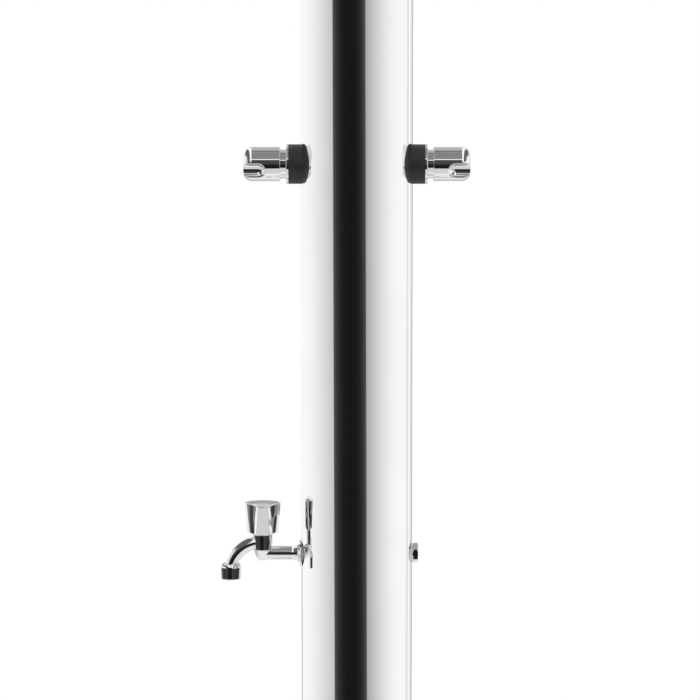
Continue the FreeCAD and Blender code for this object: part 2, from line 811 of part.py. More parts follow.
def knob_ring(corner, facet, flute, height):
    """The knob's outline at one height: three flat corners joined by hollow flutes."""
    edges = []
    for k in range(3):
        turn = math.radians(-90 + knob_turn + 120 * k)
        ahead = turn + math.radians(120)
        between = turn + math.radians(60)

        def spot(angle, out, aside):
            return Vector(out * math.cos(angle) - aside * math.sin(angle),
                          out * math.sin(angle) + aside * math.cos(angle), height)

        start, end = spot(turn, corner, -facet / 2), spot(turn, corner, facet / 2)
        edges.append(Part.LineSegment(start, end).toShape())
        edges.append(Part.Arc(end, spot(between, flute, 0), spot(ahead, corner, -facet / 2)).toShape())
    return Part.Wire(edges)


def tap_knob():
    """Three lobes with hollow flutes, narrower below, under a shallow dome, hollow beneath."""
    lower = knob_ring(knob_bottom_corner, knob_bottom_facet, knob_bottom_flute, knob_bottom)
    upper = knob_ring(knob_top_corner, knob_top_facet, knob_top_flute, knob_corner_top + knob_dome_rise)
    lobes = Part.makeLoft([lower, upper], True, True)
    dome_radius = (knob_top_corner ** 2 + knob_dome_rise ** 2) / (2 * knob_dome_rise)
    dome = Part.makeSphere(dome_radius, Vector(0, 0, knob_top - dome_radius))
    knob = lobes.common(dome)
    knob = knob.makeFillet(knob_edge_round, [e for e in knob.Edges if e.BoundBox.ZMax > knob_bottom + 1.0])
    ring = pipe(knob_hollow_diameter, headwork_top_diameter * 0.85, knob_bottom - 1, knob_hollow_top)
    below = rod(knob_hollow_diameter, knob_bottom - 1, headwork_top + 1.0)
    index_floor = knob_top - knob_index_thickness
    ways = [ring, below, rod(spindle_diameter + 2 * thread_clearance, knob_bottom, spindle_top),
            rod(knob_screw_diameter + hole_clearance, knob_bottom, knob_top),
            rod(knob_index_diameter + 2 * thread_clearance, index_floor, knob_top + 1),
            rod(2 * knob_screw_diameter + hole_clearance, index_floor - knob_web, knob_top)]
    return from_post(knob.cut(ways))


def knob_screw():
    seat = knob_top - knob_index_thickness - knob_web
    shank, foot, top = knob_screw_diameter / 2, spindle_top - knob_screw_depth + 0.5, seat + knob_screw_head_height
    return from_post(turned((0, foot), (shank, foot), (shank, seat), (2 * shank, seat), (2 * shank, top, 0.6),
                            (0, top)))


def knob_index():
    """The plain disc that closes the screw's hole, flush with the dome."""
    low = knob_top - knob_index_thickness
    return from_post(turned((0, low), (knob_index_diameter / 2, low),
                            (knob_index_diameter / 2, knob_top - 0.1, 0.5),
                            (0, knob_top + 0.1)))


def nozzle():
    """The chrome cup that holds the aerator under the spout."""
    outer, bore = nozzle_diameter / 2, spout_thread_diameter / 2 + thread_clearance
    inside, lip = outer - nozzle_wall, outer - nozzle_wall - nozzle_lip
    seat = nozzle_bottom + nozzle_lip
    cup = turned((bore, -nozzle_top_drop), (outer, -nozzle_top_drop, nozzle_shoulder_round),
                 (outer - nozzle_draft, nozzle_bottom, nozzle_bottom_round), (lip, nozzle_bottom), (lip, seat),
                 (inside, seat),
                 (inside, spout_end - aerator_gap), (bore, spout_end - aerator_gap))
    return from_post(placed(cup, x=spout_reach))


def aerator():
    """A pierced insert, seated on the nozzle's inner lip."""
    low = nozzle_bottom + nozzle_lip
    high = spout_end - 2 * aerator_gap
    radius = nozzle_diameter / 2 - nozzle_wall - thread_clearance
    body = turned((0, low), (radius, low), (radius, high, 0.6), (0, high))
    holes = [rod(aerator_hole_diameter, low - 1, high + 1)]
    holes += around(placed(holes[0], x=radius / 2), aerator_ring_count)
    return from_post(placed(body.cut(holes), x=spout_reach))


# Blanking plug on the +X side, at the tap's height

def blanking_plug():
    """A hexagon on a thin round face, with a solid shank into the manifold."""
    face = port_seal_face + plug_face_thickness
    head = nut_blank(plug_flats, face, face + plug_head)
    head = head.fuse(rod(port_seal_diameter, port_seal_face, face))
    return lay(head.fuse(rod(half_inch_thread, shank_end, face)))


# Shower arms and heads, built about the wall hole's axis

arm_start = post_radius + arm_gasket_thickness
slope = math.radians(arm_slope)
bend_start = arm_start + arm_run
bend_end = Vector(bend_start + arm_bend_radius * math.sin(slope), 0, -arm_bend_radius * (1 - math.cos(slope)))
spray_way = Vector(math.cos(slope), 0, -math.sin(slope))
collar_start = bend_end + spray_way * arm_end_run
ball_rise = collar_length + ball_depth
ball_centre = collar_start + spray_way * ball_rise


def along_spray(shape, foot):
    """Turn a solid built up along Z onto the spray's direction, its origin on foot."""
    turned_shape = shape.copy()
    turned_shape.rotate(ORIGIN, Y_AXIS, 90 + arm_slope)
    turned_shape.translate(foot)
    return turned_shape


def arm_tube(diameter, first, last):
    """A tube of the arm's route: level, bent down, and straight again."""
    middle = Vector(bend_start + arm_bend_radius * math.sin(slope / 2), 0,
                    -arm_bend_radius * (1 - math.cos(slope / 2)))
    start, bend = Vector(first, 0, 0), Vector(bend_start, 0, 0)
    route = Part.Wire([Part.LineSegment(start, bend).toShape(), Part.Arc(bend, middle, bend_end).toShape(),
                       Part.LineSegment(bend_end, last).toShape()])
    section = Part.Wire(Part.Circle(start, X_AXIS, diameter / 2).toShape())
    return route.makePipeShell([section], True, False)


def shower_arm():
    """Threaded shank, bent tube and the collar that the ball seats in."""
    tube = arm_tube(arm_diameter, arm_start, collar_start)
    shank = lay(rod(half_inch_thread, arm_shank_end, arm_start + 1))
    collar = turned((0, -2), (collar_diameter / 2 - 2, -2, 0.5), (collar_diameter / 2, 1.5),
                    (collar_diameter / 2, collar_length), (0, collar_length))
    arm = tube.fuse(shank).fuse(along_spray(collar, collar_start))
    seat = Part.makeSphere(ball_diameter / 2 + ball_clearance, ball_centre)
    bore = arm_diameter - 2 * arm_wall
    return arm.cut([arm_tube(bore, arm_start, collar_start), lay(rod(water_way, arm_shank_end - 1, arm_start + 1)),
                    along_spray(rod(bore, -1, collar_length + 1), collar_start), seat]).removeSplitter()


def arm_gasket():
    return saddle_outside(arm_gasket_diameter, half_inch_thread + hole_clearance, arm_start)


def arm_rosette():
    """A pressed cup that covers the gasket and stands on the post's side."""
    outer, bore = rosette_diameter / 2, arm_diameter / 2 + hole_clearance / 2
    high = arm_start + rosette_height
    inside, ceiling = outer - rosette_wall, high - rosette_wall
    cup = turned((bore, arm_start), (bore, high), (outer, high, rosette_round), (outer, post_radius / 2),
                 (inside, post_radius / 2), (inside, ceiling, rosette_round - rosette_wall),
                 (bore + rosette_wall, ceiling), (bore + rosette_wall, arm_start))
    return lay(cup).cut(rod(post_diameter, -rosette_diameter, rosette_diameter))


def head_elbow():
    """Turns the water from the upright pipe into the arm, inside the post."""
    back = outlet_reach - elbow_end_margin
    barrel = lay(turned((0, back), (manifold_arm_diameter / 2, back, 4.0),
                        (manifold_arm_diameter / 2, fitting_mouth), (0, fitting_mouth)))
    stub_low = -manifold_arm_diameter / 2 - socket_depth
    stub = placed(rod(port_diameter, stub_low, 0), x=outlet_reach)
    ways = [placed(rod(water_way, stub_low, 0), x=outlet_reach),
            placed(rod(socket(branch_pipe_diameter), stub_low - 1, stub_low + socket_depth), x=outlet_reach),
            lay(rod(water_way, outlet_reach - water_way / 2, fitting_mouth)),
            lay(rod(half_inch_thread + 2 * thread_clearance, arm_shank_end, fitting_mouth + 1))]
    return barrel.fuse(stub).cut(ways).removeSplitter()


ball = ball_diameter / 2
nut_mouth = ball * nut_mouth_ratio
head_throat = ball + head_neck_length
head_crown = head_throat + head_crown_height
head_face = head_throat + head_depth
plate_low = head_face - spray_plate_thickness - spray_plate_recess


def ball_nut():
    """Screws on the collar and keeps the ball in its seat."""
    outer, thread = ball_nut_diameter / 2, collar_diameter / 2 + thread_clearance
    low, high = ball_nut_start, ball_nut_start + ball_nut_length
    body = turned((0, low), (outer - ball_nut_chamfer, low, 1.0), (outer, low + 1.5 * ball_nut_chamfer, 1.0),
                  (outer, high - ball_nut_nose, 2.0), (nut_mouth + nut_mouth_wall, high, 1.0), (0, high))
    cuts = [rod(2 * thread, low - 1, collar_length), rod(2 * nut_mouth, collar_length, high + 1),
            Part.makeSphere(ball + ball_clearance, Vector(0, 0, ball_rise)),
            turned((0, ball_rise), (nut_mouth, high - nut_mouth_depth), (nut_mouth + nut_mouth_flare, high + 1),
                   (0, high + 1))]
    return along_spray(body.cut(cuts), collar_start)


def shower_head():
    """The ball, its neck and the bell in one piece, with a ribbed boss for the spray plate's screw."""
    neck, rim = head_neck_diameter / 2, head_diameter / 2
    inside, ceiling = rim - head_wall, head_crown + 1.6 * head_wall
    shoulder = head_face - head_rim_height
    foot = math.sqrt(ball ** 2 - neck ** 2) - 1.0
    outside = [(0, foot), (neck, foot), (neck, head_throat, 3.0), (neck + head_crown_width, head_crown, 8.0),
               (rim, shoulder, 5.0), (rim, head_face, 1.0)]
    bell = turned(*outside, (inside, head_face), (inside, shoulder + 1.0, 4.0),
                  (neck + head_crown_width - 3.0, ceiling, 6.0), (0, ceiling))
    boss = rod(head_boss_diameter, plate_low - head_boss_length, plate_low)
    rib = Part.makeBox(rim, head_rib_thickness, head_rib_height,
                       Vector(0, -head_rib_thickness / 2, plate_low - head_rib_height))
    filled = turned(*outside, (0, head_face))
    ribs = [one.common(filled) for one in around(rib, head_rib_count, head_rib_angle)]
    screw_bore = rod(head_screw_diameter + 2 * thread_clearance, plate_low - head_screw_length - 0.5, head_face)
    head = bell.fuse([Part.makeSphere(ball), boss] + ribs)
    ways = [rod(head_bore_diameter, -ball - 1, ceiling + 1), screw_bore,
            rod(ball_diameter * 0.6, -ball - 1, -ball * 0.55)]
    return along_spray(head.cut(ways).removeSplitter(), ball_centre)


def spray_plate():
    """A pierced disc inside the bell's rim, seated on the ribs and the boss."""
    radius, top = head_diameter / 2 - head_wall - spray_plate_gap, plate_low + spray_plate_thickness
    plate = turned((0, plate_low), (radius, plate_low), (radius, top, 0.8), (0, top))
    hole = rod(spray_hole_diameter, plate_low - 1, top + 1)
    holes = [rod(head_screw_diameter + hole_clearance, plate_low - 1, top + 1)]
    for ring in range(spray_ring_count):
        radius = spray_first_radius + ring * spray_ring_step
        holes += around(placed(hole, x=radius), spray_first_count * (ring + 1))
    return along_spray(plate.cut(holes), ball_centre)


def head_screw():
    """Holds the spray plate to the boss inside the bell."""
    shank, seat = head_screw_diameter / 2, plate_low + spray_plate_thickness
    foot, top = plate_low - head_screw_length, seat + head_screw_head_height
    return along_spray(turned((0, foot), (shank, foot), (shank, seat), (2 * shank, seat), (2 * shank, top, 1.2),
                              (0, top)), ball_centre)


# Write every piece, in place, to its own file

def main():
    pieces = {
        "post": post(),
        "base_plate": base_plate(),
        "top_cap": top_cap(),
        "cap_screws": cap_screws(),
        "inlet_union": inlet_union(),
        "inlet_screws": inlet_screws(),
        "supply_pipe": main_pipe(supply_low, manifold_low + socket_depth),
        "lower_manifold": lower_manifold(),
        "riser_pipe": main_pipe(manifold_high - socket_depth, splitter_low + socket_depth),
        "riser_splitter": riser_splitter(),
        "lock_nuts": lock_nuts(),
        "blanking_plug": placed(blanking_plug(), z=tap_height),
        "port_seals": pair(port_seal(), tap_height),
    }
    tap_parts = [tap_body, tap_flange, headwork, seat_ring, fixed_disc, turning_disc, spindle, tap_knob,
                 knob_screw, knob_index, nozzle, aerator]
    for make in tap_parts:
        pieces[make.__name__] = placed(on_side(make(), -1), z=tap_height)

    for make in (button_cap, saddle_gasket, bezel, valve_body, stem_bush, button_stem, poppet_washer,
                 return_spring):
        for side, name in SIDES:
            pieces[f"{make.__name__}_{name}"] = placed(on_side(make(), side), z=button_height)
    for name, make in (("inner_washers", inner_washer), ("valve_end_plugs", valve_end_plug),
                       ("stem_seals", stem_seal)):
        pieces[name] = pair(make(), button_height)

    for make in (shower_arm, arm_rosette, ball_nut, shower_head, spray_plate, head_screw):
        for side, name in SIDES:
            pieces[f"{make.__name__}_{name}"] = placed(on_side(make(), side), z=shower_height)
    for name, make in (("arm_gaskets", arm_gasket), ("head_elbows", head_elbow)):
        pieces[name] = pair(make(), shower_height)

    feed_low = splitter_high - socket_depth
    feed_high = button_height - port_stub_length + valve_socket_depth
    outlet_low = button_height + port_stub_length - valve_socket_depth
    outlet_high = shower_height - manifold_arm_diameter / 2
    pieces["feed_pipes"] = pair(branch_pipe(feed_low, feed_high, feed_reach))
    pieces["outlet_pipes"] = pair(branch_pipe(outlet_low, outlet_high, outlet_reach))

    os.makedirs("parts", exist_ok=True)
    for name, shape in pieces.items():
        shape.exportStep(f"parts/{name}.step")
        print(name, len(shape.Solids), "valid" if shape.isValid() else "INVALID", round(shape.Volume))


main()
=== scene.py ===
"""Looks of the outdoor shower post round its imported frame: finishes, fine pieces, white studio, camera."""
import json
import math

import bmesh
import bpy
from bpy.props import FloatProperty, FloatVectorProperty, IntProperty, PointerProperty
from mathutils import Matrix, Vector


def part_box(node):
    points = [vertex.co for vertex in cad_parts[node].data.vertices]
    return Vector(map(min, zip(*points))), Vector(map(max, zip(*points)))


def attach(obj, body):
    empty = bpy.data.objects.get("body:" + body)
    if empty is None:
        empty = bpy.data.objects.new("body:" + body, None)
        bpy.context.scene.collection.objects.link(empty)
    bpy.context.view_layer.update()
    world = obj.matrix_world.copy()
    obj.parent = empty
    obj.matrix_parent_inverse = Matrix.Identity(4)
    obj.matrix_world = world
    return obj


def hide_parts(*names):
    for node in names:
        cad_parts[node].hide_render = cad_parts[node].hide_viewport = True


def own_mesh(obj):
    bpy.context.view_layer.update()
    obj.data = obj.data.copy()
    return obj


bl_info = {
    "name": "Outdoor shower post",
    "version": (1, 0, 0),
    "blender": (4, 5, 0),
    "location": "View3D > Sidebar > Shower post",
    "description": "Polished shower post with push buttons, foot-wash tap and shower heads",
    "category": "Object",
}

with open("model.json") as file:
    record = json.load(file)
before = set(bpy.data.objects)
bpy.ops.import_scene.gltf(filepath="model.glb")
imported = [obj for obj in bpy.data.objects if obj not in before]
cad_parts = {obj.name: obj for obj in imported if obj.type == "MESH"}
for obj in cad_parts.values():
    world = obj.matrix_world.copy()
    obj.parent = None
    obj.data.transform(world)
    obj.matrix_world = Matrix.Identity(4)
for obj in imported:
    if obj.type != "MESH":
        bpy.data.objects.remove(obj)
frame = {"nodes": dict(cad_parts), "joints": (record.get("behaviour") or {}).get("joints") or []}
nodes = frame["nodes"]
joints = {joint["name"]: joint for joint in frame["joints"]}
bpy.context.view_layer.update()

MM = 0.001
SIDES = (("left", -1), ("right", 1))
ORIGIN, X_AXIS, Z_AXIS = Vector(), Vector((1, 0, 0)), Vector((0, 0, 1))

# Sizes of the construction that the frame's boxes don't tell. A spray plate's faces are measured from its
# head's ball, along the spray, which leans by HEAD_TURN from straight up.
CAP_SCREW_COUNT = 3
CAP_SCREW_LENGTH = 8 * MM
HEAD_TURN = math.radians(135)
SPRAY_PLATE_BACK, SPRAY_PLATE_FACE = 53 * MM, 56 * MM
SPRAY_RINGS = 3
FIRST_RING_HOLES = 6
FIRST_RING_RADIUS, RING_STEP = 11 * MM, 10 * MM

# Fineness of the meshes. A socket's sides are cut so that its rim has as many points as the screw's head.
SCREW_SEGMENTS = 48
HEXAGON_SIDE_CUTS = SCREW_SEGMENTS // 6 - 1
NIB_SEGMENTS = 20
WIRE_SEGMENTS = 14
COIL_STEPS_PER_TURN = 40

# Width of the finished picture
PICTURE_PIXELS = 700


# Sizes and colours a user may change

class FinishSettings(bpy.types.PropertyGroup):
    """Colours and roughness of the finishes."""
    steel: FloatVectorProperty(name="Polished steel", description="Mirror-polished tube, cap and base",
                               subtype="COLOR", size=3, min=0, max=1, default=(0.93, 0.93, 0.935))
    steel_roughness: FloatProperty(name="Steel roughness", description="Blur of the tube's reflections",
                                   subtype="FACTOR", min=0, max=1, default=0.03)
    chrome: FloatVectorProperty(name="Chrome", description="Plated buttons, tap, arms and heads",
                                subtype="COLOR", size=3, min=0, max=1, default=(0.91, 0.915, 0.93))
    chrome_roughness: FloatProperty(name="Chrome roughness", description="Blur of the plating's reflections",
                                    subtype="FACTOR", min=0, max=1, default=0.022)
    rubber: FloatVectorProperty(name="Rubber", description="Black gaskets and seals",
                                subtype="COLOR", size=3, min=0, max=1, default=(0.010, 0.010, 0.0105))
    brass: FloatVectorProperty(name="Brass", description="Bare brass fittings inside the post",
                               subtype="COLOR", size=3, min=0, max=1, default=(0.78, 0.56, 0.24))
    plain_steel: FloatVectorProperty(name="Plain steel", description="Screws, springs and water pipes",
                                     subtype="COLOR", size=3, min=0, max=1, default=(0.58, 0.57, 0.55))


class PieceSettings(bpy.types.PropertyGroup):
    """Sizes of the pieces that are modelled here."""
    post_wall: FloatProperty(name="Post wall", description="Thickness of the tube's wall",
                             unit="LENGTH", min=0.0005, default=2 * MM)
    post_segments: IntProperty(name="Post segments", description="Flats round the tube",
                               min=32, max=1024, default=384)
    screw_shank: FloatProperty(name="Screw shank", description="Radius of the cap screws' shanks",
                               unit="LENGTH", min=0.001, default=2.5 * MM)
    screw_socket: FloatProperty(name="Screw socket", description="Across the corners of a cap screw's socket",
                                unit="LENGTH", min=0.0005, default=3.9 * MM)
    spring_wire: FloatProperty(name="Spring wire", description="Radius of the return springs' wire",
                               unit="LENGTH", min=0.0002, default=0.8 * MM)
    spring_turns: FloatProperty(name="Spring turns", description="Turns of each return spring",
                                min=1, default=4.5)
    nib_radius: FloatProperty(name="Nib radius", description="Of the soft nibs in the spray plates' holes",
                              unit="LENGTH", min=0.0005, default=1.46 * MM)
    nib_bore: FloatProperty(name="Nib bore", description="Radius of the water's way through each nib",
                            unit="LENGTH", min=0.0002, default=0.6 * MM)
    nib_stand: FloatProperty(name="Nib stand", description="How far each nib stands out of its plate",
                             unit="LENGTH", min=0.0, default=1.5 * MM)


class StageSettings(bpy.types.PropertyGroup):
    """Camera, floor and the white tent that the polished metal mirrors."""
    camera_distance: FloatProperty(name="Camera distance", description="From the post to the camera",
                                   unit="LENGTH", min=0.5, default=5.28)
    camera_tilt: FloatProperty(name="Camera tilt", description="How far below the horizon the camera looks",
                               subtype="ANGLE", default=math.radians(9.0))
    camera_focal_pixels: FloatProperty(name="Focal length", description="In pixels of the finished picture",
                                       subtype="PIXEL", min=100, default=4200.0)
    aim_height: FloatProperty(name="Aim height", description="Height of the picture's middle on the post",
                              unit="LENGTH", default=0.815)
    aim_side: FloatProperty(name="Aim side", description="How far left of the post the picture's middle is",
                            unit="LENGTH", default=8.5 * MM)
    floor_radius: FloatProperty(name="Floor radius", description="The floor fades to white at this radius",
                                unit="LENGTH", default=1.3)
    gap_left: FloatProperty(name="Gap left", description="Left edge of the tent's dark front opening",
                            subtype="ANGLE", default=math.radians(-51))
    gap_right: FloatProperty(name="Gap right", description="Right edge of the tent's dark front opening",
                             subtype="ANGLE", default=math.radians(17.5))
    gap_low: FloatProperty(name="Gap bottom", description="Where the pale floor ends below the dark opening",
                           subtype="ANGLE", default=math.radians(-24))
    gap_high: FloatProperty(name="Gap top", description="Top of the dark opening",
                            subtype="ANGLE", default=math.radians(35))
    wall_low: FloatProperty(name="Wall bottom", description="Lower edge of the tent's pale side walls",
                            subtype="ANGLE", default=math.radians(-14.1))


# Shader graphs written as Python expressions

class Signal:
    """An output socket; arithmetic on it adds Math nodes."""

    def __init__(self, graph, socket):
        self.graph = graph
        self.socket = socket

    def __add__(self, other):
        return self.graph.calc("ADD", self, other)

    def __sub__(self, other):
        return self.graph.calc("SUBTRACT", self, other)

    def __mul__(self, other):
        return self.graph.calc("MULTIPLY", self, other)

    def __truediv__(self, other):
        return self.graph.calc("DIVIDE", self, other)

    def __pow__(self, other):
        return self.graph.calc("POWER", self, other)

    def __radd__(self, other):
        return self.graph.calc("ADD", other, self)

    def __rsub__(self, other):
        return self.graph.calc("SUBTRACT", other, self)

    def __rmul__(self, other):
        return self.graph.calc("MULTIPLY", other, self)

    def __neg__(self):
        return self.graph.calc("MULTIPLY", self, -1.0)


class Graph:
    """A node tree and the one method that adds nodes to it."""

    def __init__(self, tree):
        self.tree = tree
        self.tree.nodes.clear()

    def add(self, kind, settings=None, sockets=None, output=0):
        """A node of that kind: settings first, then socket values or links; gives one of its outputs."""
        node = self.tree.nodes.new("ShaderNode" + kind)
        for name, value in (settings or {}).items():
            if name == "stops":
                ramp = node.color_ramp.elements
                while len(ramp) < len(value):
                    ramp.new(0.5)
                for stop, (place, colour) in zip(ramp, value):
                    stop.position = place
                    stop.color = (*colour, 1.0)
            else:
                setattr(node, name, value)
        for key, value in (sockets or {}).items():
            if isinstance(value, Signal):
                self.tree.links.new(value.socket, node.inputs[key])
            else:
                node.inputs[key].default_value = value
        return Signal(self, node.outputs[output]) if node.outputs else node

    def calc(self, operation, *values):
        """A Math node on one to three values."""
        return self.add("Math", {"operation": operation}, dict(enumerate(values)))

    def smooth(self, value, low, high):
        """0 below low, 1 above high, and a soft step between."""
        return self.add("MapRange", {"interpolation_type": "SMOOTHSTEP"}, {0: value, 1: low, 2: high})

    def step(self, value, place, edge):
        """A soft step that reaches as far as edge to either side of its place."""
        return self.smooth(value, place - edge, place + edge)

    def band(self, value, low, high, edge):
        """1 between low and high, with soft edges."""
        return self.step(value, low, edge) * (1.0 - self.step(value, high, edge))

    def blend(self, share, first, second):
        """From one number to the other."""
        return self.add("Mix", {"data_type": "FLOAT"}, {0: share, 2: first, 3: second})

    def blend_colour(self, share, first, second):
        """From one colour to the other."""
        return self.add("Mix", {"data_type": "RGBA"}, {0: share, 6: first, 7: second}, 2)

    def place(self, scale=(1, 1, 1)):
        """Object coordinates, stretched."""
        place = self.add("TexCoord", output="Object")
        return self.add("Mapping", None, {"Vector": place, "Scale": scale})

    def noise(self, vector, scale, detail=4.0, roughness=0.55):
        return self.add("TexNoise", None, {"Vector": vector, "Scale": scale, "Detail": detail,
                                           "Roughness": roughness})

    def bump(self, height, strength, distance):
        return self.add("Bump", None, {"Strength": strength, "Distance": distance, "Height": height})

    def principled(self, **sockets):
        """The finished surface, from socket names written with underscores."""
        named = {name.replace("_", " ").title(): value for name, value in sockets.items()}
        return self.add("BsdfPrincipled", None, named)

    def surface(self, shader):
        self.add("OutputMaterial", None, {"Surface": shader})


def new_material(name):
    """An empty material and its graph."""
    material = bpy.data.materials.new(name)
    material.use_nodes = True
    return material, Graph(material.node_tree)


def rgba(colour, share=1.0):
    """A colour, darker or lighter by that share, as a colour socket takes it."""
    return (*(part * share for part in colour), 1.0)


# Finishes

def polished(name, colour, roughness, grain, grain_scale, waviness):
    """Bright metal: a faint grain in its roughness and slow waves in its surface."""
    material, graph = new_material(name)
    fine = graph.noise(graph.place(grain_scale), 1.0, 3.0)
    patches = graph.noise(graph.place(), 9.0, 4.0)
    slow = graph.noise(graph.place(), 26.0, 1.0)
    bump = graph.bump(slow + fine * 0.08, waviness, 0.001)
    rough = roughness * (0.55 + patches * 0.6 + fine * grain)
    tone = graph.blend_colour(graph.smooth(patches, 0.35, 0.7), rgba(colour, 0.975), rgba(colour))
    graph.surface(graph.principled(base_color=tone, metallic=1.0, roughness=rough, normal=bump))
    return material


def mirror_steel():
    looks = bpy.context.scene.shower_finish
    return polished("mirror_polished_steel", looks.steel, looks.steel_roughness, 0.5, (900, 900, 30), 0.01)


def chrome_plate():
    looks = bpy.context.scene.shower_finish
    return polished("chrome_plating", looks.chrome, looks.chrome_roughness, 0.3, (700, 700, 700), 0.02)


def brushed(name, colour, roughness, scale):
    """Plain metal with turning marks and slightly darker patches."""
    material, graph = new_material(name)
    marks = graph.noise(graph.place(scale), 1.0, 3.0, 0.7)
    patches = graph.noise(graph.place(), 60.0, 4.0)
    tone = graph.blend_colour(graph.smooth(patches, 0.3, 0.75), rgba(colour, 0.72), rgba(colour))
    bump = graph.bump(marks, 0.15, 0.0004)
    rough = roughness * (0.75 + marks * 0.5)
    graph.surface(graph.principled(base_color=tone, metallic=1.0, roughness=rough, normal=bump))
    return material


def bare_brass():
    return brushed("bare_brass", bpy.context.scene.shower_finish.brass, 0.3, (900, 900, 200))


def plain_steel():
    return brushed("plain_steel", bpy.context.scene.shower_finish.plain_steel, 0.27, (1200, 1200, 400))


def water_pipe():
    return brushed("water_pipe", bpy.context.scene.shower_finish.plain_steel, 0.35, (900, 900, 25))


def black_rubber():
    """Moulded rubber: a fine grain, dull, with slightly greyer rubbed patches."""
    material, graph = new_material("black_rubber")
    grain = graph.noise(graph.place(), 2600.0, 2.0)
    patches = graph.noise(graph.place(), 140.0, 4.0)
    colour = bpy.context.scene.shower_finish.rubber
    tone = graph.blend_colour(graph.smooth(patches, 0.4, 0.8), rgba(colour), rgba(colour, 1.7))
    bump = graph.bump(grain, 0.25, 0.0002)
    graph.surface(graph.principled(base_color=tone, roughness=0.42 + patches * 0.2, normal=bump))
    return material


def pale_silicone():
    """Soft seal of clear silicone: milky, smooth, with slightly duller patches."""
    material, graph = new_material("pale_silicone")
    clouds = graph.noise(graph.place(), 160.0, 3.0)
    tone = graph.blend_colour(clouds, rgba((0.62, 0.63, 0.63)), rgba((0.72, 0.73, 0.73)))
    graph.surface(graph.principled(base_color=tone, roughness=0.3 + clouds * 0.2))
    return material


def white_ceramic():
    """Ground ceramic, smooth and faintly mottled."""
    material, graph = new_material("white_ceramic")
    mottle = graph.noise(graph.place(), 900.0, 3.0)
    tone = graph.blend_colour(mottle, rgba((0.86, 0.86, 0.84)), rgba((0.8, 0.79, 0.76)))
    graph.surface(graph.principled(base_color=tone, roughness=0.15 + mottle * 0.1))
    return material


def grey_plastic():
    """Moulded plastic with a fine spark-eroded grain."""
    material, graph = new_material("grey_plastic")
    grain = graph.noise(graph.place(), 3000.0, 2.0)
    tone = graph.blend_colour(grain, rgba((0.3, 0.31, 0.32)), rgba((0.36, 0.37, 0.38)))
    bump = graph.bump(grain, 0.2, 0.0001)
    graph.surface(graph.principled(base_color=tone, roughness=0.4 + grain * 0.15, normal=bump))
    return material


# Each finish has the name of the record's slot that it is for
SLOT_FINISHES = (mirror_steel, chrome_plate, bare_brass, plain_steel, water_pipe, black_rubber, white_ceramic,
                 grey_plastic)
slot_materials = {}


class SHOWER_OT_finishes(bpy.types.Operator):
    """Give every carried-over piece its finish"""
    bl_idname = "shower.finishes"
    bl_label = "Finishes"

    def execute(self, context):
        slot_materials.update({finish.__name__: finish() for finish in SLOT_FINISHES})
        for node in nodes.values():
            for slot in node.material_slots:
                slot.material = slot_materials[slot.material.name.split(".")[0]]
        nodes["port_seals"].material_slots[0].material = pale_silicone()
        return {"FINISHED"}


# Meshes

def make_object(name, bm, body, slot, *replaced):
    """Turn a bmesh into a piece that rides on its body, has its slot's finish and stands for some nodes."""
    mesh = bpy.data.meshes.new(name)
    bm.normal_update()
    sharp = math.radians(35)
    for edge in bm.edges:
        edge.smooth = len(edge.link_faces) == 2 and edge.calc_face_angle(0.0) < sharp
    for face in bm.faces:
        face.smooth = True
    bm.to_mesh(mesh)
    bm.free()
    piece = bpy.data.objects.new(name, mesh)
    bpy.context.scene.collection.objects.link(piece)
    mesh.materials.append(slot_materials[slot])
    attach(piece, body)
    if replaced:
        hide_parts(*replaced)
    return piece


def lathe(bm, outline, segments, closed=True):
    """Spin (radius, height) points round Z, into a ring or, from an open outline, a solid."""
    points = [bm.verts.new((radius, 0, height)) for radius, height in outline]
    pairs = list(zip(points, points[1:]))
    if closed:
        pairs.append((points[-1], points[0]))
    edges = [bm.edges.new(pair) for pair in pairs]
    bmesh.ops.spin(bm, geom=points + edges, cent=ORIGIN, axis=Z_AXIS, dvec=(0, 0, 0), angle=2 * math.pi,
                   steps=segments, use_merge=True)
    bmesh.ops.remove_doubles(bm, verts=bm.verts, dist=1e-7)
    bmesh.ops.recalc_face_normals(bm, faces=bm.faces)


def only_verts(parts):
    return [part for part in parts if isinstance(part, bmesh.types.BMVert)]


def open_edges(bm):
    return [edge for edge in bm.edges if edge.is_boundary]


def copies_around(bm, count, radius):
    """Spread copies of a bmesh evenly on a circle round Z and drop the original."""
    first = bm.verts[:] + bm.edges[:] + bm.faces[:]
    for k in range(count):
        made = bmesh.ops.duplicate(bm, geom=first)["geom"]
        turn = Matrix.Rotation(2 * math.pi * k / count, 4, "Z") @ Matrix.Translation((radius, 0, 0))
        bmesh.ops.transform(bm, matrix=turn, verts=only_verts(made))
    bmesh.ops.delete(bm, geom=only_verts(first), context="VERTS")


def move_into(bm, other):
    """Move another bmesh's geometry into this one."""
    mesh = bpy.data.meshes.new("part")
    other.to_mesh(mesh)
    other.free()
    bm.from_mesh(mesh)
    bpy.data.meshes.remove(mesh)


class SHOWER_OT_post(bpy.types.Operator):
    """Model the polished tube with a finer round than the construction's"""
    bl_idname = "shower.post"
    bl_label = "Post tube"

    def execute(self, context):
        sizes = context.scene.shower_pieces
        low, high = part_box("post")
        outer = (high.x - low.x) / 2
        inner = outer - sizes.post_wall
        bm = bmesh.new()
        lathe(bm, [(inner, low.z), (outer, low.z), (outer, high.z), (inner, high.z)], sizes.post_segments)
        make_object("post_tube", bm, "post_assembly", "mirror_steel", "post")
        return {"FINISHED"}


